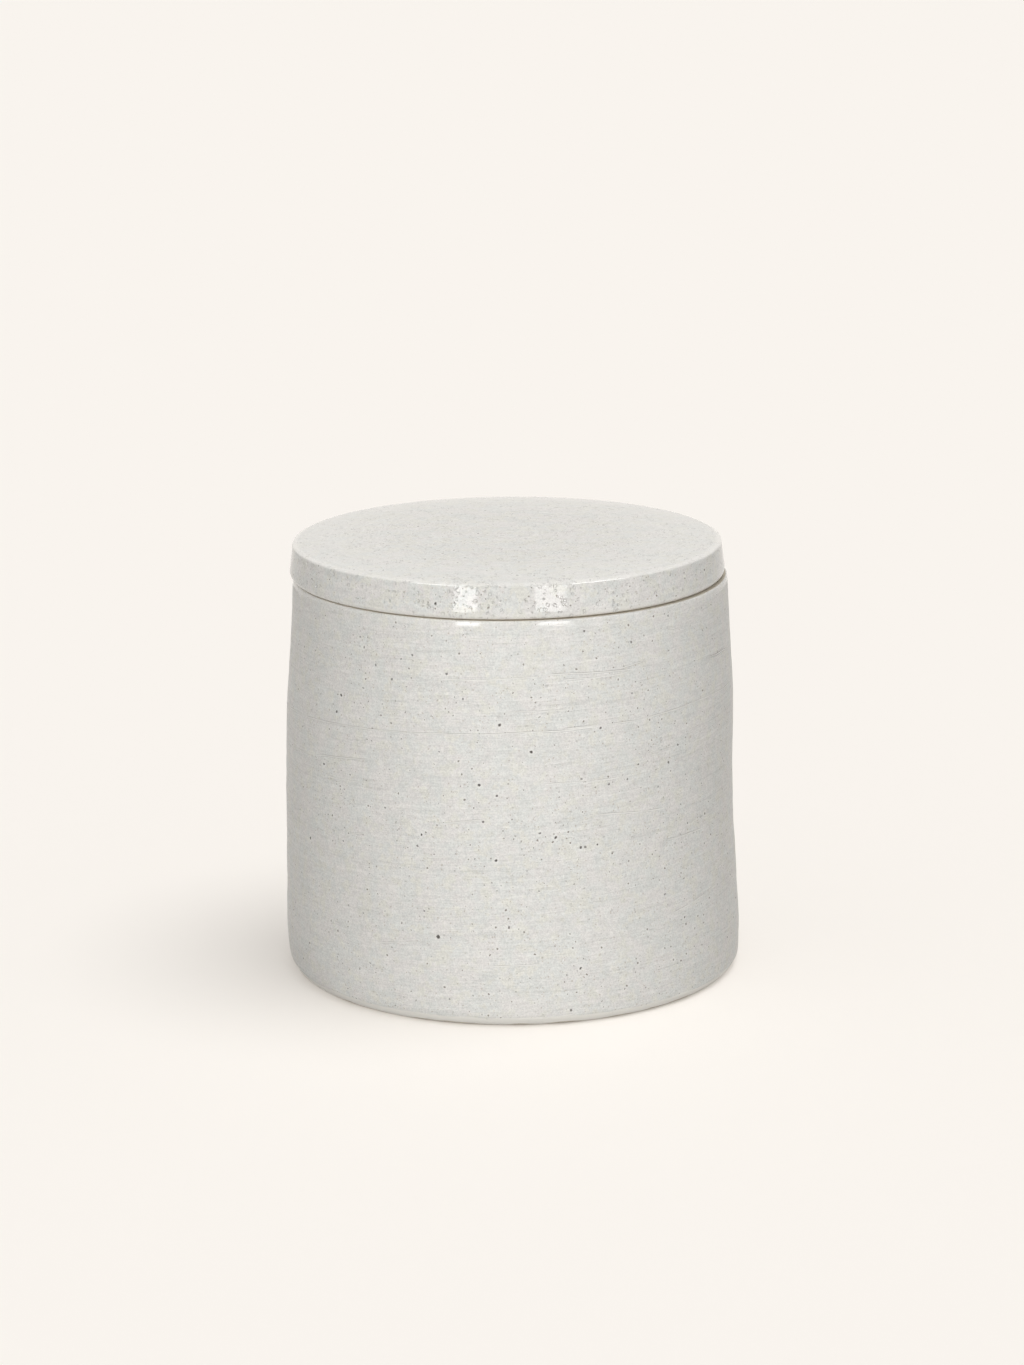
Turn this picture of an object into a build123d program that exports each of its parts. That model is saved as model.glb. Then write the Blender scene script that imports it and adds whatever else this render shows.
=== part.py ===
"""A round lidded box of thrown stoneware, in its two loose pieces. The jar stands on a trimmed,
bevelled foot. The lid is a cap that rests flat on the jar's rim, and a flange under it reaches
into the mouth and keeps it from sliding off.

+Z is up, and the origin is on the table below the middle of the jar. Sizes are in millimetres
and angles in degrees."""

import os
from math import cos, radians, sin

from build123d import *

# The jar's wall
jar_height = 100.0
rim_radius = 54.1
belly_swell = 3.4
wall_drift = 0.5
rim_thickness = 5.2
base_wall_thickness = 6.6
floor_thickness = 6.4
floor_corner_radius = 10.0
rim_outer_bevel = 0.9
rim_inner_bevel = 0.8

# The jar's foot
foot_bevel_height = 2.5
foot_bevel_inset = 2.2
foot_ring_width = 8.0
foot_recess_depth = 1.3
foot_recess_slope = 45.0

# The lid's cap
lid_edge_height = 8.6
lid_crown_rise = 1.4
lid_overhang = 0.1
lid_side_lean = 1.1
lid_waist_depth = 0.65
lid_arris_rounding = 1.1
lid_lip_bevel = 1.1
lid_web_thickness = 6.4
lid_hollow_bevel = 2.5

# The lid's flange
flange_clearance = 1.4
flange_depth = 6.5
flange_thickness = 4.2
flange_taper = 0.6
flange_tip_bevel = 0.9

# The rings of the wall as it was thrown, from the foot up to the rim. Each has its height as a
# share of the jar's, how far it swells past the rim as a share of the belly's swell, and how far
# its middle wanders from the axis, as a share of the drift.
wall_ring_shares = (
    (0.00, 0.85, 0.80),
    (0.11, 1.00, 0.10),
    (0.22, 0.88, -0.30),
    (0.38, 0.71, -1.00),
    (0.54, 0.62, -1.00),
    (0.71, 0.50, -0.30),
    (0.87, 0.21, 0.00),
    (1.00, 0.00, 0.10),
)
# The angles on the round of the floor's corner at which the hollow has a ring, from the floor up.
floor_corner_turns = (0, 30, 60, 90)
# The crown of the lid, from its flat middle to its edge: the radius as a share of the arris's, and
# how far it has dropped by there, as a share of the crown's rise.
crown_shares = ((0.55, 0.00), (0.83, 0.28), (1.00, 1.00))
# Where the waist in the lid's side lies, as a share of the way from the lip up to the arris.
waist_height_share = 0.45
# How far the lid rests off the jar's axis, as a share of the flange's clearance in the mouth.
lid_rest_share = -0.46

# Sizes that follow from the ones above
mouth_radius = rim_radius - rim_thickness
hollow_radius = rim_radius + belly_swell - base_wall_thickness
hollow_corner_top = floor_thickness + floor_corner_radius

lid_middle = flange_clearance * lid_rest_share
lid_radius = rim_radius + lid_overhang
arris_radius = lid_radius - lid_side_lean
seat_radius = lid_radius - lid_lip_bevel
lip_height = jar_height + lid_lip_bevel
arris_height = jar_height + lid_edge_height
crown_height = arris_height + lid_crown_rise
ceiling_height = crown_height - lid_web_thickness
waist_height = lip_height + (arris_height - lip_height) * waist_height_share
flange_radius = mouth_radius - flange_clearance
flange_bore = flange_radius - flange_thickness
flange_tip_height = jar_height - flange_depth

# The rings of the outside and, above the round of the floor's corner, of the hollow that follows it
# a wall's thickness further in: the height, the radius and where the middle is.
outside_rings = []
hollow_rings = []
for turn in floor_corner_turns:
    corner_height = hollow_corner_top - floor_corner_radius * cos(radians(turn))
    corner_radius = hollow_radius - floor_corner_radius * (1 - sin(radians(turn)))
    hollow_rings.append((corner_height, corner_radius, 0))
for height_share, swell_share, drift_share in wall_ring_shares:
    height = jar_height * height_share
    radius = rim_radius + belly_swell * swell_share
    middle = wall_drift * drift_share
    outside_rings.append((height, radius, middle))
    thickness = base_wall_thickness + (rim_thickness - base_wall_thickness) * height_share
    if height > hollow_corner_top:
        hollow_rings.append((height, radius - thickness, middle))
foot_middle = outside_rings[0][2]
foot_radius = outside_rings[0][1] - foot_bevel_inset

os.makedirs("parts", exist_ok=True)

# The jar: lofted through the rings of its outside, hollowed through those of its inside, with the
# foot and the rim bevelled and a recess trimmed under the floor
with BuildPart() as jar:
    for rings, mode in ((outside_rings, Mode.ADD), (hollow_rings, Mode.SUBTRACT)):
        for height, radius, middle in rings:
            with BuildSketch(Plane.XY.offset(height)):
                with Locations((middle, 0)):
                    Circle(radius)
        loft(ruled=True, mode=mode)

    underside = jar.faces().sort_by(Axis.Z)[0]
    chamfer(underside.edges(), length=foot_bevel_inset, length2=foot_bevel_height, reference=underside)
    mouth_edge, rim_edge = jar.faces().sort_by(Axis.Z)[-1].edges().sort_by(SortBy.LENGTH)
    chamfer(rim_edge, rim_outer_bevel)
    mouth_edge = jar.faces().sort_by(Axis.Z)[-1].edges().sort_by(SortBy.LENGTH)[0]
    chamfer(mouth_edge, rim_inner_bevel)

    with BuildSketch(Plane.XY):
        with Locations((foot_middle, 0)):
            Circle(foot_radius - foot_ring_width)
    extrude(amount=foot_recess_depth, taper=foot_recess_slope, mode=Mode.SUBTRACT)

jar.part.label = "jar"
export_step(jar.part, "parts/jar.step")

# The lid: one profile turned about its own axis, with a low crown, a soft arris, a waisted side, a
# bevelled lip, the flat seat, and the flange round the hollow below
with BuildPart() as lid:
    with BuildSketch(Plane((lid_middle, 0, 0), x_dir=(1, 0, 0), z_dir=(0, -1, 0))):
        with BuildLine():
            crown = [
                (arris_radius * radius_share, crown_height - lid_crown_rise * drop_share)
                for radius_share, drop_share in crown_shares
            ]
            Polyline(
                (seat_radius, jar_height),
                (flange_radius, jar_height),
                (flange_radius - flange_taper, flange_tip_height),
                (flange_bore, flange_tip_height),
                (flange_bore, ceiling_height),
                (0, ceiling_height),
                (0, crown_height),
                *crown,
                (lid_radius - lid_waist_depth, waist_height),
                (lid_radius, lip_height),
                close=True,
            )
        make_face()
        corners = vertices().filter_by_position(Axis.Y, arris_height, arris_height)
        fillet(corners, lid_arris_rounding)
    revolve(axis=Axis((lid_middle, 0, 0), (0, 0, 1)))

    for height, bevel in ((ceiling_height, lid_hollow_bevel), (flange_tip_height, flange_tip_bevel)):
        circles = lid.edges().filter_by(GeomType.CIRCLE)
        chamfer(circles.filter_by_position(Axis.Z, height, height), bevel)

lid.part.label = "lid"
export_step(lid.part, "parts/lid.step")
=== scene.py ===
"""A round lidded box of thrown stoneware, dressed and lit: the jar and its cap lid as they came off
the wheel, under an off-white glaze with iron specks, on a pale floor in soft light.

Everything is in metres, +Z up, with the origin on the table below the middle of the jar."""

import math

import bpy
from mathutils import Euler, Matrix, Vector


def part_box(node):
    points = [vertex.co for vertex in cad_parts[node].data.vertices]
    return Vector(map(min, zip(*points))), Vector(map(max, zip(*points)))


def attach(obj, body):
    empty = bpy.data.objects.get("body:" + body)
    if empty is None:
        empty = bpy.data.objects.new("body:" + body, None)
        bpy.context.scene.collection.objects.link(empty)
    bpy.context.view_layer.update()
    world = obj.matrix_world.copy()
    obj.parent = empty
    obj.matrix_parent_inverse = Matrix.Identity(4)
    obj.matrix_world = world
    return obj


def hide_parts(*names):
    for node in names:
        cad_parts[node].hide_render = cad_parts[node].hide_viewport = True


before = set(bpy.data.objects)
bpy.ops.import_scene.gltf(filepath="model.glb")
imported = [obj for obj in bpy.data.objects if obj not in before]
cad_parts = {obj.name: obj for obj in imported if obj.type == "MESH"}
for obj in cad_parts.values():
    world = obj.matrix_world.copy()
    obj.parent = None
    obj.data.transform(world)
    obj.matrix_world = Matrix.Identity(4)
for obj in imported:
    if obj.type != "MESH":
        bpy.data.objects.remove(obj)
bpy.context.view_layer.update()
bpy.ops.object.select_all(action="DESELECT")

mm = 0.001

# What the frame gives
jar_low, jar_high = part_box("jar")
lid_low, lid_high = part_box("lid")
jar_height = jar_high.z
belly_radius = (jar_high.y - jar_low.y) / 2
lid_radius = (lid_high.y - lid_low.y) / 2
lid_middle = (lid_high.x + lid_low.x) / 2
crown_height = lid_high.z
flange_tip_height = lid_low.z

# The jar
belly_swell = 3.4 * mm
rim_radius = belly_radius - belly_swell
wall_drift = 0.5 * mm
rim_thickness = 5.2 * mm
base_wall_thickness = 6.6 * mm
floor_thickness = 6.4 * mm
floor_corner_radius = 10 * mm
rim_outer_rounding = 0.6 * mm
rim_inner_rounding = 1 * mm
foot_bevel_height = 2.5 * mm
foot_bevel_inset = 1.7 * mm
foot_softening = 0.7 * mm
foot_edge_softening = 0.1 * mm
foot_ring_width = 8 * mm
foot_recess_depth = 1.3 * mm
recess_edge_softening = 0.3 * mm
bevel_edge_softening = 0.15 * mm
wall_clear_of_bevel = 0.5 * mm

# The lid
lid_crown_rise = 1.4 * mm
lid_crown_power = 6
lid_side_lean = 0.8 * mm
lid_arris_rounding = 0.7 * mm
lid_lip_rounding = 1.5 * mm
lid_web_thickness = 6.4 * mm
lid_hollow_rounding = 3.5 * mm
flange_clearance = 1.4 * mm
flange_thickness = 4.2 * mm
flange_taper = 0.6 * mm
flange_tip_rounding = 1.2 * mm
flange_root_softening = 0.5 * mm

# The rings of the thrown wall, from the foot up to the rim: the height as a share of the jar's, the
# swell as a share of the belly's, and how far the middle wanders, as a share of the drift
wall_ring_shares = (
    (0.00, 0.85, 0.80),
    (0.11, 1.00, 0.10),
    (0.22, 0.88, -0.30),
    (0.38, 0.71, -1.00),
    (0.54, 0.62, -1.00),
    (0.71, 0.50, -0.30),
    (0.87, 0.21, 0.00),
    (1.00, 0.00, 0.10),
)
# The lid's side from the lip up to the arris: the height as a share of the side's, and how far it has
# leaned in, as a share of the lean
lid_side_shares = ((0.00, 0.00), (0.20, 0.24), (0.45, 0.52), (0.60, 0.66), (0.80, 0.84), (1.00, 1.00))

# The pieces are drawn with rings of a few points, the smallest of which is then closed to a point, and
# two rounds of subdivision make them fine
points_around = 64
subdivisions = 2
wall_ring_pitch = 1.8 * mm
hollow_ring_steps = 11
crown_ring_steps = 15
smallest_ring = 0.5 * mm

# How the throwing lines climb to the right across the front
throwing_climb = 0.036
# The waves that hands leave: their size (across, deep, high), and how far they reach in and out in all
wall_waves = (
    ((60 * mm, 60 * mm, 26 * mm), 0.5 * mm),
    ((45 * mm, 45 * mm, 3.4 * mm), 0.12 * mm),
    ((22 * mm, 22 * mm, 1.1 * mm), 0.05 * mm),
)
hollow_wave = ((70 * mm, 70 * mm, 5 * mm), 0.7 * mm)
crown_wave = ((24 * mm, 24 * mm, 24 * mm), 0.16 * mm)
# Where they fade out: from full strength at a height above the table, or at a share of the jar's
# height, and over a stretch below the rim, below the mouth and in from the lid's edge
wave_full_height = 9 * mm
wave_full_share = 0.93
rim_calm = 1 * mm
mouth_calm = (2 * mm, 10 * mm)
crown_step = 0.2 * mm
crown_calm = (4 * mm, 16 * mm)


def smooth_between(stations, place):
    """Value at a place on the smooth line through the stations, which are (place, value) in order."""
    last = len(stations) - 1
    step = next((i for i in range(last) if place <= stations[i + 1][0]), last - 1)
    (start, low), (end, high) = stations[step], stations[step + 1]
    before = stations[max(step - 1, 0)]
    after = stations[min(step + 2, last)]
    leave = (high - before[1]) / (end - before[0])
    arrive = (after[1] - low) / (after[0] - start)
    reach = end - start
    t = min(max((place - start) / reach, 0), 1)
    return (
        low * (2 * t**3 - 3 * t**2 + 1)
        + high * (3 * t**2 - 2 * t**3)
        + reach * leave * (t**3 - 2 * t**2 + t)
        + reach * arrive * (t**3 - t**2)
    )


def wall_swell(share):
    """Radius of the outside of the wall, and where its middle is, at a share of the jar's height."""
    swell = smooth_between([(height, swell) for height, swell, _ in wall_ring_shares], share)
    drift = smooth_between([(height, drift) for height, _, drift in wall_ring_shares], share)
    return rim_radius + belly_swell * swell, wall_drift * drift


def round_corner(radius, height, size, start, end, steps):
    """Points (radius, height) round a corner whose centre is given, between two angles in degrees."""
    angles = [math.radians(start + (end - start) * step / steps) for step in range(steps + 1)]
    return [(radius + size * math.cos(angle), height + size * math.sin(angle)) for angle in angles]


def straight(start, end, steps):
    """Points (radius, height) along a straight stretch, without its two ends."""
    return [
        tuple(a + (b - a) * step / steps for a, b in zip(start, end)) for step in range(1, steps)
    ]


def jar_outline():
    """The jar's rings (radius, height, middle), from the middle of the underside, out over the foot,
    up the wall, over the rim and down the inside to the middle of the floor."""
    base_radius, base_middle = wall_swell(0)
    foot_radius = base_radius - foot_bevel_inset
    recess_radius = foot_radius - foot_ring_width
    recess_edge = (recess_radius - foot_recess_depth, foot_recess_depth)
    underside = [(smallest_ring, foot_recess_depth)]
    underside += straight((smallest_ring, foot_recess_depth), recess_edge, 4)
    underside += [(recess_edge[0] - foot_softening, foot_recess_depth)]
    softening = recess_edge_softening
    underside += [(recess_edge[0] + softening, foot_recess_depth - softening)]
    underside += [(recess_radius - softening, softening), (recess_radius + foot_softening, 0)]
    underside += straight((recess_radius, 0), (foot_radius, 0), 3)
    underside += [(foot_radius - foot_softening, 0)]
    underside += [(foot_radius - foot_edge_softening, foot_edge_softening)]
    bevel_top = wall_swell(foot_bevel_height / jar_height)[0]
    underside += straight((foot_radius, 0), (bevel_top, foot_bevel_height), 3)
    rings = [(radius, height, base_middle) for radius, height in underside]
    bevel_edge_height = foot_bevel_height - foot_edge_softening
    rings.append((bevel_top - bevel_edge_softening, bevel_edge_height, base_middle))

    wall_bottom = foot_bevel_height + wall_clear_of_bevel
    wall_top = jar_height - rim_outer_rounding
    steps = round((wall_top - wall_bottom) / wall_ring_pitch)
    for step in range(steps):
        height = wall_bottom + (wall_top - wall_bottom) * step / steps
        radius, middle = wall_swell(height / jar_height)
        rings.append((radius, height, middle))

    top_radius, top_middle = wall_swell(1)
    mouth_radius = top_radius - rim_thickness
    inner_top = jar_height - rim_inner_rounding
    rim = round_corner(top_radius - rim_outer_rounding, wall_top, rim_outer_rounding, 0, 90, 3)
    rim += straight(rim[-1], (mouth_radius + rim_inner_rounding, jar_height), 3)
    rim += round_corner(mouth_radius + rim_inner_rounding, inner_top, rim_inner_rounding, 90, 180, 3)
    rings += [(radius, height, top_middle) for radius, height in rim]

    hollow_radius = rim_radius + belly_swell - base_wall_thickness
    corner_top = floor_thickness + floor_corner_radius
    for step in range(1, hollow_ring_steps):
        height = inner_top + (corner_top - inner_top) * step / hollow_ring_steps
        radius, middle = wall_swell(height / jar_height)
        thickness = base_wall_thickness + (rim_thickness - base_wall_thickness) * height / jar_height
        rings.append((radius - thickness, height, middle))
    corner_middle = hollow_radius - floor_corner_radius
    floor = round_corner(corner_middle, corner_top, floor_corner_radius, 0, -90, 4)
    floor += straight(floor[-1], (smallest_ring, floor_thickness), 4)
    floor.append((smallest_ring, floor_thickness))
    rings += [(radius, height, 0) for radius, height in floor]
    return rings


def lid_outline():
    """The lid's rings, from the middle of the crown out over the arris, down the side, under the lip,
    along the seat, round the flange and over the ceiling of the hollow to its middle."""
    arris_radius = lid_radius - lid_side_lean
    arris_height = crown_height - lid_crown_rise - lid_arris_rounding
    crown_radius = arris_radius - lid_arris_rounding
    points = []
    for step in range(1, crown_ring_steps):
        radius = crown_radius * math.sin(math.radians(90) * step / crown_ring_steps)
        share = radius / arris_radius
        points.append((radius, crown_height - lid_crown_rise * share**lid_crown_power))
    points += round_corner(crown_radius, arris_height, lid_arris_rounding, 80, 0, 3)
    lip_top = jar_height + lid_lip_rounding
    for share, lean in reversed(lid_side_shares[1:-1]):
        points.append((lid_radius - lid_side_lean * lean, lip_top + (arris_height - lip_top) * share))
    seat_radius = lid_radius - lid_lip_rounding
    points += round_corner(seat_radius, lip_top, lid_lip_rounding, 0, -90, 3)
    flange_radius = rim_radius - rim_thickness - flange_clearance
    tip_radius = flange_radius - flange_taper
    root = (flange_radius, jar_height - flange_root_softening)
    points += straight((seat_radius, jar_height), (flange_radius, jar_height), 3)
    points += [(flange_radius + flange_root_softening, jar_height), root]
    tip_top = flange_tip_height + flange_tip_rounding
    points += straight(root, (tip_radius, tip_top), 3)
    points += round_corner(tip_radius - flange_tip_rounding, tip_top, flange_tip_rounding, 0, -90, 3)
    bore = flange_radius - flange_thickness
    points += round_corner(bore + flange_tip_rounding, tip_top, flange_tip_rounding, -90, -180, 3)
    ceiling_height = crown_height - lid_web_thickness
    corner_height = ceiling_height - lid_hollow_rounding
    points += straight((bore, tip_top), (bore, corner_height), 3)
    points += round_corner(bore - lid_hollow_rounding, corner_height, lid_hollow_rounding, 0, 90, 3)
    points += straight(points[-1], (smallest_ring, ceiling_height), 4)
    points.append((smallest_ring, ceiling_height))
    return [(radius, height, lid_middle) for radius, height in points]


def finish_modifier(piece, kind, **settings):
    """Adds a modifier with its settings and applies it."""
    modifier = piece.modifiers.new(kind.lower(), kind)
    for name, value in settings.items():
        setattr(modifier, name, value)
    bpy.ops.object.modifier_apply(modifier=modifier.name)


def throw(name, rings):
    """Draws a turned piece out of one circle, ring by ring, closes both ends and makes it fine.
    Subdivision draws a ring of points in a little, so each ring is drawn that much wider."""
    draw_in = (2 + math.cos(math.tau / points_around)) / 3
    radius, height, middle = rings[0]
    bpy.ops.mesh.primitive_circle_add(
        vertices=points_around, radius=radius / draw_in, location=(middle, 0, height)
    )
    piece = bpy.context.object
    piece.name = name
    bpy.ops.object.transform_apply()
    bpy.ops.object.mode_set(mode="EDIT")
    bpy.ops.mesh.select_mode(type="EDGE")
    bpy.ops.mesh.select_all(action="SELECT")
    for start, end in zip(rings, rings[1:]):
        rise = (end[2] - start[2], 0, end[1] - start[1])
        bpy.ops.mesh.extrude_edges_move(TRANSFORM_OT_translate={"value": rise})
        growth = end[0] / start[0]
        bpy.ops.transform.resize(value=(growth, growth, 1), center_override=(end[2], 0, end[1]))
    bpy.ops.mesh.merge(type="CENTER")
    bpy.ops.mesh.select_non_manifold()
    bpy.ops.mesh.merge(type="CENTER")
    bpy.ops.mesh.select_all(action="SELECT")
    bpy.ops.mesh.normals_make_consistent(inside=False)
    bpy.ops.object.mode_set(mode="OBJECT")
    finish_modifier(piece, "SUBSURF", levels=subdivisions, render_levels=subdivisions)
    bpy.ops.object.shade_smooth()
    return piece


def weigh(piece, name, share_of):
    """Makes a vertex group in which each point's weight is what share_of says for its place."""
    group = piece.vertex_groups.new(name=name)
    for vertex in piece.data.vertices:
        share = share_of(vertex.co)
        if share > 0:
            group.add([vertex.index], min(share, 1), "REPLACE")


def unevenness(piece, group, size, depth, even_level=0.5):
    """Moves the points of a group in and out by soft clouds of a size (across, deep, high), which climb
    as the throwing lines do. An even_level of 1 only ever moves them in."""
    texture = bpy.data.textures.new(group, "CLOUDS")
    texture.noise_scale = 1
    bpy.ops.object.empty_add(rotation=(0, -math.atan(throwing_climb), 0))
    place = bpy.context.object
    place.scale = size
    bpy.context.view_layer.objects.active = piece
    finish_modifier(
        piece,
        "DISPLACE",
        texture=texture,
        texture_coords="OBJECT",
        texture_coords_object=place,
        vertex_group=group,
        strength=depth,
        mid_level=even_level,
    )
    bpy.data.objects.remove(place)
    bpy.data.textures.remove(texture)


def fade(place, start, end):
    """0 before start, 1 after end, and a straight rise between them."""
    return min(max((place - start) / (end - start), 0), 1)


def shape_jar():
    """The jar, with the rings and the slight waves that hands leave on the wall, outside and in."""
    jar = throw("thrown_jar", jar_outline())
    between = rim_radius - rim_thickness / 2

    def outside(place):
        if math.hypot(place.x, place.y) < between:
            return 0
        above_foot = fade(place.z, foot_bevel_height, wave_full_height)
        below_rim = fade(place.z, jar_height - rim_calm, wave_full_share * jar_height)
        return above_foot * below_rim

    def inside(place):
        if math.hypot(place.x, place.y) > between or place.z < floor_thickness / 2:
            return 0
        return fade(place.z, jar_height - mouth_calm[0], jar_height - mouth_calm[1])

    weigh(jar, "wall", outside)
    for wave in wall_waves:
        unevenness(jar, "wall", *wave)
    weigh(jar, "hollow", inside)
    unevenness(jar, "hollow", *hollow_wave)
    return jar


def shape_lid():
    """The lid, with a crown that isn't quite even."""
    lid = throw("thrown_lid", lid_outline())

    def on_crown(place):
        crown_edge = crown_height - lid_crown_rise
        on_top = fade(place.z, crown_edge - crown_step, crown_edge)
        across = math.hypot(place.x - lid_middle, place.y)
        return on_top * fade(across, lid_radius - crown_calm[0], lid_radius - crown_calm[1])

    weigh(lid, "crown", on_crown)
    unevenness(lid, "crown", *crown_wave, even_level=1)
    return lid


def put(tree, kind, sockets=None, **settings):
    """Adds a shader node: settings are its own options, and sockets gives inputs a value or a link."""
    node = tree.nodes.new("ShaderNode" + kind)
    for name, value in settings.items():
        setattr(node, name, value)
    for key, value in (sockets or {}).items():
        if isinstance(value, bpy.types.NodeSocket):
            tree.links.new(value, node.inputs[key])
        else:
            node.inputs[key].default_value = value
    return node


def calc(tree, operation, first, second=0.0):
    return put(tree, "Math", {0: first, 1: second}, operation=operation).outputs[0]


def shift(tree, operation, first, second):
    return put(tree, "VectorMath", {0: first, 1: second}, operation=operation).outputs[0]


def spread(tree, value, low, high, low_gives=0.0, high_gives=1.0):
    """Turns a stretch of values smoothly into another."""
    sockets = {"Value": value, 1: low, 2: high, 3: low_gives, 4: high_gives}
    return put(tree, "MapRange", sockets, interpolation_type="SMOOTHSTEP").outputs[0]


def times(tree, first, second):
    return calc(tree, "MULTIPLY", first, second)


def blend(tree, share, under, over, mode="MIX"):
    sockets = {0: share, 6: under, 7: over}
    return put(tree, "Mix", sockets, data_type="RGBA", blend_type=mode).outputs[2]


def cloud(tree, place, size, detail=2.0, roughness=0.5):
    """Soft noise from 0 to 1 with spots of a size."""
    sockets = {"Vector": place, "Scale": 1 / size, "Detail": detail, "Roughness": roughness}
    return put(tree, "TexNoise", sockets).outputs["Fac"]


def shaken(tree, place, size, reach):
    """The place moved about a little, which makes what is drawn there ragged."""
    noise = put(tree, "TexNoise", {"Vector": place, "Scale": 1 / size}).outputs["Color"]
    offset = put(tree, "VectorMath", {0: noise, "Scale": 2 * reach}, operation="SCALE").outputs[0]
    return shift(tree, "ADD", place, shift(tree, "SUBTRACT", offset, (reach, reach, reach)))


def scatter(tree, place, spacing, size, share):
    """Specks of about a radius, in a share of cells of a spacing: 1 in their middle and 0 outside."""
    cells = put(tree, "TexVoronoi", {"Vector": place, "Scale": 1 / spacing})
    chance = put(tree, "SeparateColor", {0: cells.outputs["Color"]})
    radius = spread(tree, chance.outputs[1], 0, 1, 0.5 * size / spacing, 1.4 * size / spacing)
    depth = calc(tree, "DIVIDE", cells.outputs["Distance"], radius)
    present = calc(tree, "LESS_THAN", chance.outputs[0], share)
    return times(tree, spread(tree, depth, 1, 0.6), present)


def speck(tree, place, centre, radius):
    gap = put(tree, "VectorMath", {0: place, 1: centre}, operation="DISTANCE").outputs["Value"]
    return spread(tree, gap, radius, 0.6 * radius)


def dash(tree, place, start, end, width):
    """A thin straight mark between two places: 1 along its middle and 0 outside."""
    start, end = Vector(start), Vector(end)
    along = end - start
    from_start = shift(tree, "SUBTRACT", place, start)
    sockets = {0: from_start, 1: along / along.length_squared}
    share = put(tree, "VectorMath", sockets, operation="DOT_PRODUCT").outputs["Value"]
    share = put(tree, "Clamp", {0: share}).outputs[0]
    nearest = put(tree, "VectorMath", {0: along, "Scale": share}, operation="SCALE").outputs[0]
    gap = put(tree, "VectorMath", {0: from_start, 1: nearest}, operation="DISTANCE").outputs["Value"]
    return spread(tree, gap, width, 0.3 * width)


def wheel_line(tree, turn, height, start, end, width):
    """A thin line that the wheel drew on the wall between two places, which are (angle from the front,
    height where it crosses the front). It thins out at its ends."""
    sockets = {"Value": turn, 1: start[0], 2: end[0], 3: start[1], 4: end[1]}
    along = put(tree, "MapRange", sockets).outputs[0]
    off = calc(tree, "ABSOLUTE", calc(tree, "SUBTRACT", height, along))
    reach = (end[0] - start[0]) / 2
    past_middle = calc(tree, "ABSOLUTE", calc(tree, "SUBTRACT", turn, start[0] + reach))
    kept = spread(tree, past_middle, reach, 0.7 * reach)
    return times(tree, spread(tree, off, width, 0.4 * width), kept)


def on_wall(angle, height):
    """The place on the wall at an angle from the front, in degrees to the right, and a height."""
    radius, middle = wall_swell(height / jar_height)
    turn = math.radians(angle)
    return middle + radius * math.sin(turn), -radius * math.cos(turn), height


def from_axis(tree, place, middle):
    """How far a place is from the axis that a piece was turned on."""
    across = shift(tree, "MULTIPLY", shift(tree, "SUBTRACT", place, (middle, 0, 0)), (1, 1, 0))
    return put(tree, "VectorMath", {0: across}, operation="LENGTH").outputs["Value"]


def seen_or_mirrored(tree):
    """1 for rays that show a thing, straight or mirrored, and 0 for those that only light from it."""
    rays = put(tree, "LightPath")
    seen = calc(tree, "MAXIMUM", rays.outputs["Is Camera Ray"], rays.outputs["Is Glossy Ray"])
    return calc(tree, "MAXIMUM", seen, rays.outputs["Is Transmission Ray"])


def new_finish(name):
    material = bpy.data.materials.new(name)
    material.use_nodes = True
    tree = material.node_tree
    tree.nodes.clear()
    shader = put(tree, "BsdfPrincipled")
    put(tree, "OutputMaterial", {"Surface": shader.outputs["BSDF"]})
    return material, tree, shader


# The colours of the ware
cool_glaze = (0.716, 0.722, 0.694, 1)
warm_glaze = (0.753, 0.734, 0.706, 1)
sallow_glaze = (0.740, 0.731, 0.676, 1)
# Milky glaze for the white specks and marks, also used as painted highlight on the long lines and round
# the dark specks
milky_glaze_and_highlight = (0.86, 0.85, 0.81, 1)
cream_glaze = (0.85, 0.835, 0.78, 1)
# The foot's bevel is painted lighter than the glaze: painted light that makes up for the shade it gets
# as it faces down
foot_painted_light = (0.88, 0.866, 0.815, 1)
rust = (0.42, 0.35, 0.28, 1)
pepper = (0.24, 0.215, 0.185, 1)
iron = (0.075, 0.066, 0.058, 1)
bare_clay = (0.62, 0.57, 0.48, 1)
clay_sand = (0.42, 0.37, 0.30, 1)

# The scattered specks: their spacing, radius, share of places taken, strength and colour. Two kinds
# with one spacing share their places, the first as a pale halo round the second, a painted highlight
# for the glints beside the dark specks
speck_kinds = (
    (0.9 * mm, 0.17 * mm, 0.60, 0.55, rust),
    (1.0 * mm, 0.20 * mm, 0.55, 0.80, milky_glaze_and_highlight),
    (1.4 * mm, 0.17 * mm, 0.55, 0.85, pepper),
    (2.1 * mm, 0.60 * mm, 0.60, 0.35, milky_glaze_and_highlight),
    (2.1 * mm, 0.24 * mm, 0.60, 0.95, pepper),
    (4.6 * mm, 0.80 * mm, 0.50, 0.40, milky_glaze_and_highlight),
    (4.6 * mm, 0.31 * mm, 0.50, 0.95, iron),
)

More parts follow.
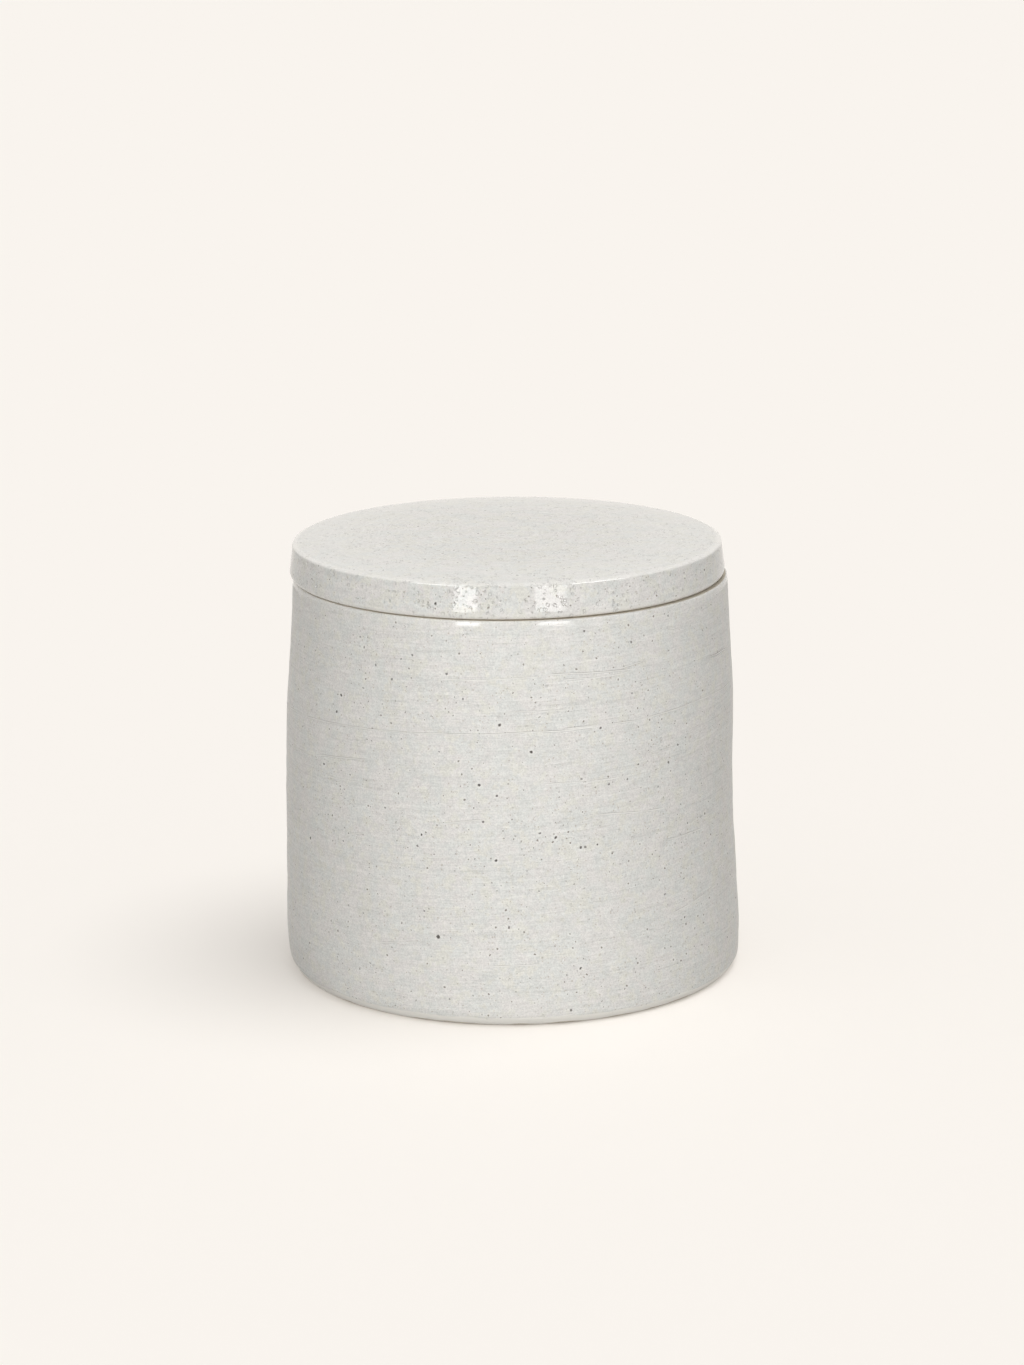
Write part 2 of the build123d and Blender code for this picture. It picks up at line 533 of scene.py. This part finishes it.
# The larger specks on the wall: the angle from the front in degrees, the height and the radius in
# millimetres
jar_specks = (
    (-18.2, 22.3, 0.60),
    (22.6, 73.1, 0.40),
    (46.3, 65.5, 0.40),
    (43.0, 61.7, 0.40),
    (17.5, 44.3, 0.40),
    (18.6, 44.3, 0.36),
    (-6.5, 51.4, 0.36),
    (18.7, 96.9, 0.40),
    (31.8, 92.9, 0.36),
    (-16.0, 87.0, 0.36),
    (-25.3, 90.9, 0.36),
    (-31.0, 84.5, 0.36),
    (-36.0, 87.3, 0.32),
    (-49.0, 73.8, 0.40),
    (-41.3, 93.4, 0.32),
    (41.2, 28.9, 0.36),
    (13.7, 3.9, 0.36),
    (-0.7, 25.5, 0.32),
    (-21.7, 28.4, 0.32),
    (-8.6, 42.2, 0.28),
    (-23.2, 44.4, 0.32),
    (-11.9, 81.2, 0.32),
    (0.5, 82.8, 0.28),
    (31.6, 80.5, 0.304),
    (17.7, 61.1, 0.304),
    (30.2, 59.6, 0.32),
    (24.9, 59.1, 0.304),
    (39.5, 56.3, 0.304),
    (-17.7, 68.1, 0.304),
    (-36.6, 68.7, 0.28),
    (15.6, 35.3, 0.256),
    (6.9, 34.2, 0.256),
    (48.2, 31.4, 0.28),
    (-15.8, 6.8, 0.28),
    (-28.4, 89.6, 0.28),
    (-37.4, 13.0, 0.304),
)
# The longest lines of the wheel: the angle and height of each end, the width, and how deep they cut,
# which is less than nothing where they stand out. Each is also painted pale along its length, a
# painted highlight for the light on its edge
jar_lines = (
    (-80, 70.7, -48, 72.5, 0.264, 0.154),
    (-55, 72.3, -20, 73.1, 0.264, 0.154),
    (-26, 73.0, 8, 73.2, 0.24, 0.11),
    (3, 73.1, 24, 72.6, 0.288, 0.176),
    (12, 73.3, 34, 72.6, 0.24, 0.132),
    (30, 72.6, 58, 73.2, 0.264, 0.154),
    (52, 73.1, 80, 72.3, 0.264, 0.132),
    (-72, 61.7, -36, 65.4, 0.264, 0.176),
    (-54, 58.6, -40, 59.1, 0.264, 0.176),
    (8, 86.7, 34, 85.2, 0.264, 0.176),
    (12, 85.0, 30, 84.5, 0.24, 0.132),
    (28, 86.0, 36, 86.7, 0.264, -0.176),
    (-11, 96.0, 0, 96.0, 0.24, 0.11),
    (-19, 86.2, 9, 86.2, 0.216, 0.088),
    (-3, 78.3, 15, 77.7, 0.24, 0.132),
    (7, 60.3, 29, 59.4, 0.264, 0.132),
    (-18, 50.9, -7, 52.2, 0.264, 0.154),
    (20, 51.2, 46, 48.7, 0.264, 0.132),
    (-46, 45.0, -38, 47.0, 0.288, -0.176),
    (-25, 42.4, -15, 42.9, 0.264, -0.132),
    (41, 41.1, 57, 40.4, 0.288, 0.198),
    (37, 21.5, 63, 24.5, 0.264, 0.154),
    (-36, 19.4, -23, 21.6, 0.264, 0.154),
    (-6, 15.7, 7, 15.7, 0.24, 0.11),
    (60, 82.3, 80, 81.4, 0.36, 0.352),
)
# How pale the lines are painted, as a painted highlight
line_painted_highlight = 0.9
# Small scars in the wall: the angle and height of each end, and how strong they are
jar_scars = (
    (24.5, 24.1, 26.9, 21.3, 0.50),
    (26.9, 21.3, 26.0, 18.9, 0.40),
    (44.0, 94.5, 46.2, 94.1, 0.90),
)
scar_width = 0.35 * mm
scar_depth = 0.15
# The larger specks on top of the lid, and their radius, in millimetres
lid_specks = (
    (-6.2, 28.4, 0.40),
    (10.6, -10.0, 0.35),
    (27.0, 5.0, 0.35),
    (-10.8, -28.3, 0.40),
    (-13.0, -44.5, 0.45),
    (42.5, -28.9, 0.40),
)
# Short marks on top of the lid: the two ends in millimetres, and how strong they are
lid_dashes = (
    (0.5, 5.0, 3.5, 4.8, 0.90),
    (-0.5, 2.0, 2.5, 1.6, 0.60),
    (-15.0, 17.5, -13.0, 17.2, 0.80),
    (8.0, 25.2, 10.0, 25.0, 0.80),
    (30.1, 33.1, 32.8, 32.3, 0.80),
    (7.0, 12.0, 12.0, 11.4, 0.60),
    (-12.0, -28.2, -9.8, -28.4, 0.50),
    (10.6, -10.0, 13.0, -10.3, 0.60),
    (-22.0, -36.0, -17.0, -38.0, 0.50),
    (2.4, -44.0, 12.0, -43.2, 0.50),
)
dash_width = 0.5 * mm
# Where the lid's side is pitted most, and how far round there
pitted_places = ((-10 * mm, -53 * mm, 106 * mm), (11 * mm, -53 * mm, 105 * mm))
pitted_reach = 9 * mm

# Where one finish gives way to the next, from where it starts to where it is complete: below the jar's
# top, above the table, above the jar's top and, for the arris, above its height and in from its radius
rim_change = (1.7 * mm, 0.9 * mm)
seat_change = (0.12 * mm, 0.04 * mm)
foot_change = (2.6 * mm, 2.1 * mm)
under_foot_change = (0.5 * mm, 0.3 * mm)
lip_change = (1.9 * mm, 1.1 * mm)
flange_change = (0.5 * mm, 0.25 * mm)
arris_change = (0.15 * mm, 0.4 * mm)
arris_band = (2.6 * mm, 1.6 * mm)
# How rough each part of the glaze is
satin_roughness = 0.46
rim_roughness = 0.05
lid_roughness = 0.03
bare_roughness = 0.85
# How strongly the glazes mirror, and how the thicker glaze on the rim and the arris adds to it
jar_ior = 1.35
lid_ior = 1.30
rim_coat = 0.22
rim_coat_ior = 1.5
arris_coat_ior = 2.3


def glaze(tree, place, middle, climb, streaks, breadth, patch_size, patch_edge, relief_share):
    """The colour and the relief, in millimetres, of the glaze: milky, mottled cool and warm, streaked
    round the wheel's axis with its ridges painted lighter and its grooves darker as painted light and
    shade, and peppered by the iron in the clay under it, with pale halos round the dark specks as
    painted highlight. The streaks have a strength and a breadth, and the patches a size and a soft
    edge. It also gives the ragged place that marks are drawn at, and the height as the throwing lines
    climb."""
    centred = shift(tree, "SUBTRACT", place, (middle, 0, 0))
    x, y, z = put(tree, "SeparateXYZ", {0: centred}).outputs
    up = calc(tree, "SUBTRACT", z, times(tree, x, climb))
    track = calc(tree, "ADD", up, from_axis(tree, place, middle))

    def wheel_marks(around, pitch):
        sockets = {0: calc(tree, "DIVIDE", x, around), 1: calc(tree, "DIVIDE", y, around)}
        sockets[2] = calc(tree, "DIVIDE", track, pitch)
        return cloud(tree, put(tree, "CombineXYZ", sockets).outputs[0], 1, 2, 0.55)

    wide_marks = wheel_marks(24 * mm, 0.9 * breadth * mm)
    fine_marks = wheel_marks(5 * mm, 0.34 * breadth * mm)
    long_marks = wheel_marks(30 * mm, 0.9 * breadth * mm)
    ridges = spread(tree, long_marks, 0.61, 0.67)
    grooves = spread(tree, long_marks, 0.38, 0.31)
    grain = cloud(tree, place, 0.40 * mm, 2, 0.6)
    warm_patches = cloud(tree, place, patch_size, 4, 0.62)
    warm_patches = spread(tree, warm_patches, 0.5 - patch_edge, 0.5 + patch_edge)
    elsewhere = shift(tree, "ADD", place, (belly_radius, 0, 0))
    sallow_patches = cloud(tree, elsewhere, 0.6 * patch_size, 4, 0.6)
    sallow_patches = spread(tree, sallow_patches, 0.5, 0.5 + patch_edge)
    colour = blend(tree, warm_patches, cool_glaze, warm_glaze)
    colour = blend(tree, sallow_patches, colour, sallow_glaze)
    tone = 1.0
    for marks, depth in (
        (cloud(tree, place, 4.5 * mm, 3), 0.015),
        (cloud(tree, place, 1.1 * mm, 2, 0.6), 0.05),
        (grain, 0.12),
        (wide_marks, 0.012 * streaks),
        (fine_marks, 0.06 * streaks),
    ):
        tone = calc(tree, "ADD", tone, spread(tree, marks, 0.2, 0.8, -depth, depth))
    # Painted light and shade: the ridges are painted lighter and the grooves darker
    tone = calc(tree, "ADD", tone, times(tree, ridges, 0.05 * streaks))
    tone = calc(tree, "SUBTRACT", tone, times(tree, grooves, 0.045 * streaks))
    tone = put(tree, "CombineColor", {0: tone, 1: tone, 2: tone}).outputs[0]
    colour = blend(tree, 1.0, colour, tone, "MULTIPLY")

    ragged = shaken(tree, shaken(tree, place, 0.6 * mm, 0.28 * mm), 0.22 * mm, 0.12 * mm)
    crowd = cloud(tree, place, 16 * mm, 2)
    for spacing, size, share, strength, speck_colour in speck_kinds:
        taken = spread(tree, crowd, 0.35, 0.65, 0.5 * share, 1.5 * share)
        specks = scatter(tree, ragged, spacing, size, taken)
        # The pale halos round the pepper and iron specks are painted highlight
        colour = blend(tree, times(tree, specks, strength), colour, speck_colour)

    relief = 0.0
    pinholes = scatter(tree, ragged, 1.7 * mm, 0.24 * mm, 0.4)
    for marks, depth in (
        (wide_marks, 0.04),
        (fine_marks, 0.03),
        (ridges, 0.02),
        (grooves, -0.02),
        (grain, 0.03),
        (pinholes, -0.07),
    ):
        relief = calc(tree, "ADD", relief, times(tree, marks, depth * relief_share))
    return colour, relief, ragged, up


def finish_glaze(tree, shader, colour, relief, bare, glaze_roughness):
    """Lays bare clay over the glaze where it was wiped off, and joins it all to the shader."""
    place = put(tree, "TexCoord").outputs["Object"]
    sand = cloud(tree, place, 0.5 * mm, 2, 0.7)
    clay = blend(tree, spread(tree, sand, 0.5, 0.72, 0, 0.6), bare_clay, clay_sand)
    colour = blend(tree, bare, colour, clay)
    relief = calc(tree, "ADD", relief, times(tree, times(tree, sand, bare), 0.06))
    bump = put(tree, "Bump", {"Strength": 1.0, "Distance": mm, "Height": relief}).outputs[0]
    roughness = spread(tree, bare, 0, 1, glaze_roughness, bare_roughness)
    for name, value in {"Base Color": colour, "Roughness": roughness, "Normal": bump}.items():
        tree.links.new(value, shader.inputs[name])


def jar_glaze():
    """The satin glaze of the jar, with the larger specks and the long lines of its wall, the lines
    painted pale as a painted highlight, a milky rim, a foot bevel painted lighter as painted light
    against the shade it gets, and bare clay on the rim's seat and under the foot."""
    material, tree, shader = new_finish("satin_speckled_glaze")
    place = put(tree, "TexCoord").outputs["Object"]
    colour, relief, ragged, up = glaze(
        tree,
        place,
        middle=0,
        climb=throwing_climb,
        streaks=0.9,
        breadth=1,
        patch_size=5.5 * mm,
        patch_edge=0.13,
        relief_share=2.0,
    )
    x, y, z = put(tree, "SeparateXYZ", {0: place}).outputs

    turn = calc(tree, "DEGREES", calc(tree, "ARCTAN2", x, times(tree, y, -1)))
    wander = spread(tree, cloud(tree, place, 11 * mm), 0.2, 0.8, -0.15 * mm, 0.15 * mm)
    height = calc(tree, "ADD", up, wander)
    worn = spread(tree, cloud(tree, place, 5 * mm), 0.35, 0.55, 0.3, 1)
    for start, start_height, end, end_height, width, depth in jar_lines:
        ends = (start, start_height * mm), (end, end_height * mm)
        line = times(tree, wheel_line(tree, turn, height, *ends, width * mm), worn)
        relief = calc(tree, "SUBTRACT", relief, times(tree, line, depth))
        # Painted highlight: each line is painted pale along its length
        colour = blend(tree, times(tree, line, line_painted_highlight), colour, milky_glaze_and_highlight)
    marks = 0.0
    for angle, speck_height, radius in jar_specks:
        mark = speck(tree, ragged, on_wall(angle, speck_height * mm), radius * mm)
        mark = times(tree, mark, min(0.25 + 1.5 * radius, 0.95))
        marks = calc(tree, "MAXIMUM", marks, mark)
    colour = blend(tree, marks, colour, iron)
    for start, start_height, end, end_height, strength in jar_scars:
        ends = on_wall(start, start_height * mm), on_wall(end, end_height * mm)
        mark = times(tree, dash(tree, ragged, *ends, scar_width), strength)
        colour = blend(tree, mark, colour, milky_glaze_and_highlight)
        relief = calc(tree, "SUBTRACT", relief, times(tree, mark, scar_depth))

    uneven = spread(tree, cloud(tree, place, 9 * mm, 3), 0.3, 0.7, -0.3 * mm, 0.3 * mm)
    level = calc(tree, "ADD", z, uneven)
    rim = spread(tree, level, jar_height - rim_change[0], jar_height - rim_change[1])
    foot = spread(tree, level, *foot_change)
    colour = blend(tree, times(tree, rim, 0.15), colour, cream_glaze)
    # Painted light: the downward-facing foot bevel is painted lighter than the glaze
    colour = blend(tree, foot, colour, foot_painted_light)
    roughness = spread(tree, rim, 0, 1, satin_roughness, rim_roughness)
    relief = times(tree, relief, spread(tree, rim, 0, 1, 1, 0.1))
    under_foot = spread(tree, level, *under_foot_change)
    seat = spread(tree, z, jar_height - seat_change[0], jar_height - seat_change[1])
    finish_glaze(tree, shader, colour, relief, calc(tree, "MAXIMUM", under_foot, seat), roughness)
    glassy = times(tree, times(tree, rim, rim_coat), calc(tree, "SUBTRACT", 1, seat))
    tree.links.new(glassy, shader.inputs["Coat Weight"])
    shader.inputs["Coat IOR"].default_value = rim_coat_ior
    shader.inputs["IOR"].default_value = jar_ior
    return material


def lid_glaze():
    """The glossier glaze of the lid, pitted on its side and thicker on its arris, with a cream lip and
    bare clay on the seat and the flange."""
    material, tree, shader = new_finish("glossy_speckled_glaze")
    place = put(tree, "TexCoord").outputs["Object"]
    colour, relief, ragged, _ = glaze(
        tree,
        place,
        middle=lid_middle,
        climb=0,
        streaks=0.8,
        breadth=2.2,
        patch_size=6 * mm,
        patch_edge=0.07,
        relief_share=0.02,
    )
    z = put(tree, "SeparateXYZ", {0: place}).outputs["Z"]
    for start_x, start_y, end_x, end_y, strength in lid_dashes:
        ends = (start_x * mm, start_y * mm, crown_height), (end_x * mm, end_y * mm, crown_height)
        mark = dash(tree, ragged, *ends, dash_width)
        colour = blend(tree, times(tree, mark, strength), colour, milky_glaze_and_highlight)
    for speck_x, speck_y, radius in lid_specks:
        mark = speck(tree, ragged, (speck_x * mm, speck_y * mm, crown_height), radius * mm)
        colour = blend(tree, times(tree, mark, 0.8), colour, iron)
    pitted = spread(tree, cloud(tree, place, 9 * mm), 0.4, 0.6, 0.1, 0.5)
    for pitted_place in pitted_places:
        pitted = calc(tree, "MAXIMUM", pitted, speck(tree, place, pitted_place, pitted_reach))
    pits = scatter(tree, ragged, 1.15 * mm, 0.4 * mm, pitted)
    relief = calc(tree, "SUBTRACT", relief, times(tree, pits, 0.2))
    dimples = cloud(tree, place, 1.2 * mm, 0)
    relief = calc(tree, "ADD", relief, times(tree, dimples, 0.01))
    lip = spread(tree, z, jar_height + lip_change[0], jar_height + lip_change[1], 0, 0.4)
    colour = blend(tree, lip, colour, cream_glaze)
    bare = spread(tree, z, jar_height + flange_change[0], jar_height + flange_change[1])
    radius = from_axis(tree, place, lid_middle)
    arris_height = crown_height - lid_crown_rise - lid_arris_rounding
    top = spread(tree, z, arris_height + arris_change[0], arris_height + arris_change[1])
    thick = times(tree, spread(tree, radius, 20 * mm, 50 * mm, 0, 0.35), top)
    colour = blend(tree, thick, colour, milky_glaze_and_highlight)
    edge = spread(tree, radius, lid_radius - arris_band[0], lid_radius - arris_band[1])
    arris = times(tree, top, edge)
    finish_glaze(tree, shader, colour, relief, bare, lid_roughness)
    tree.links.new(arris, shader.inputs["Coat Weight"])
    shader.inputs["Coat IOR"].default_value = arris_coat_ior
    shader.inputs["IOR"].default_value = lid_ior
    return material


# The camera: where it stands, how far it looks down, how it is rolled, and its lens
camera_place = (0.3 * mm, -917 * mm, 301.4 * mm)
camera_pitch = 14.07
camera_roll = -0.506
lens_length = 99.24
sensor_size = 36

# The backdrop's colour, as seen and as it lights the pieces, and for each light how strongly it shines
# on what faces it, where 1 shows white as white, where it stands and how soft it is, in degrees
backdrop_white = (0.947, 0.905, 0.855, 1)
bounce_white = (0.42, 0.403, 0.385, 1)
ambient_share = 0.03
key_share = 0.30
key_azimuth = 80
key_height = 75
key_softness = 38
overhead = 90
lamp_height = 1.5
top_share = 0.65
top_azimuth = 180
top_height = 60
top_softness = 60
dome_share = 0.42
dome_softness = 170
floor_size = 24
softbox_distance = 2.0
# The softboxes: the angle to the right of the camera, how broad they are, how low and how high they
# reach as seen from the lid, all in degrees, and how many times as bright as white they are
softboxes = (
    ("left_strip", -21.6, 12.0, -14, 22, 11.6),
    ("right_strip", 22.3, 16.5, -14, 22, 8.4),
    ("left_window", -42, 34.0, 30, 50, 2.9),
    ("right_window", 54, 36.0, 30, 50, 3.1),
)


def set_camera():
    bpy.ops.object.camera_add(location=camera_place)
    camera = bpy.context.object
    camera.rotation_mode = "ZXY"
    camera.rotation_euler = (math.radians(90 - camera_pitch), 0, math.radians(camera_roll))
    camera.data.lens = lens_length
    camera.data.sensor_width = sensor_size
    camera.data.clip_start = 0.01
    bpy.context.scene.camera = camera


def light_room():
    """A pale room, which shows as the backdrop where it is seen or mirrored and adds a little light
    from all round."""
    world = bpy.data.worlds.new("pale_room")
    bpy.context.scene.world = world
    world.use_nodes = True
    tree = world.node_tree
    tree.nodes.clear()
    even = put(tree, "Background", {"Color": (1, 1, 1, 1), "Strength": ambient_share})
    shown = put(tree, "Background", {"Color": backdrop_white, "Strength": 1.0})
    mixed = put(tree, "MixShader", {0: seen_or_mirrored(tree), 1: even.outputs[0], 2: shown.outputs[0]})
    put(tree, "OutputWorld", {"Surface": mixed.outputs[0]})


def lay_floor():
    """The pale floor, which runs back out of sight and looks clear from below."""
    bpy.ops.mesh.primitive_plane_add(size=floor_size)
    floor = bpy.context.object
    floor.name = "pale_floor"
    material, tree, shader = new_finish("pale_paper")
    colour = blend(tree, seen_or_mirrored(tree), bounce_white, backdrop_white)
    tree.links.new(colour, shader.inputs["Base Color"])
    shader.inputs["Roughness"].default_value = 1.0
    shader.inputs["Specular IOR Level"].default_value = 0.0
    facing = put(tree, "NewGeometry").outputs["Backfacing"]
    clear = put(tree, "BsdfTransparent")
    mixed = put(tree, "MixShader", {0: facing, 1: shader.outputs[0], 2: clear.outputs[0]})
    tree.links.new(mixed.outputs[0], tree.nodes["Material Output"].inputs["Surface"])
    floor.data.materials.append(material)
    return floor


def light_only(lamp, floor, link_state):
    """Keeps a lamp to the floor alone (INCLUDE) or to all but the floor (EXCLUDE)."""
    group = bpy.data.collections.new(lamp.name)
    group.objects.link(floor)
    group.collection_objects[0].light_linking.link_state = link_state
    lamp.light_linking.receiver_collection = group


def far_light(name, azimuth, height, softness, share):
    """A light from far off at an angle to the right of the camera, with a soft edge."""
    bpy.ops.object.light_add(type="SUN", location=(0, 0, lamp_height))
    lamp = bpy.context.object
    lamp.name = name
    lamp.rotation_euler = Euler((math.radians(height - 90), 0, math.radians(azimuth + 180)), "XYZ")
    lamp.data.energy = math.pi * share
    lamp.data.angle = math.radians(softness)
    return lamp


def softbox(name, azimuth, breadth, low, high, brightness):
    """An upright softbox in front."""
    turn = math.radians(azimuth)
    bottom = jar_height + softbox_distance * math.tan(math.radians(low))
    top = jar_height + softbox_distance * math.tan(math.radians(high))
    place = (softbox_distance * math.sin(turn), -softbox_distance * math.cos(turn), (bottom + top) / 2)
    bpy.ops.object.light_add(type="AREA", location=place, rotation=(math.radians(90), 0, turn))
    lamp = bpy.context.object
    lamp.name = name
    lamp.data.shape = "RECTANGLE"
    lamp.data.size = 2 * softbox_distance * math.tan(math.radians(breadth / 2))
    lamp.data.size_y = top - bottom
    lamp.data.energy = brightness * math.pi * lamp.data.size * lamp.data.size_y
    lamp.visible_camera = False
    return lamp


def light_pieces_and_floor(floor):
    """The top light and the softboxes, which shine on the pieces, and the lights for the floor
    alone."""
    key = far_light("key_light", key_azimuth, key_height, key_softness, key_share)
    top = far_light("top_light", top_azimuth, top_height, top_softness, top_share)
    top.visible_glossy = False
    light_only(top, floor, "EXCLUDE")
    dome = far_light("dome_light", 0, overhead, dome_softness, dome_share)
    even_share = 1 - ambient_share - dome_share
    even_share -= key_share * math.sin(math.radians(key_height))
    even = far_light("even_light", 0, overhead, 0, even_share)
    even.data.use_shadow = False
    for lamp in (key, dome, even):
        light_only(lamp, floor, "INCLUDE")
    for settings in softboxes:
        light_only(softbox(*settings), floor, "EXCLUDE")


set_camera()
light_room()
light_pieces_and_floor(lay_floor())

for piece, node, slot, finish in (
    (shape_jar(), "jar", "jar_glaze", jar_glaze()),
    (shape_lid(), "lid", "lid_glaze", lid_glaze()),
):
    piece.data.materials.append(finish)
    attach(piece, node)
    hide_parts(node)

bpy.context.scene.view_settings.view_transform = "Standard"
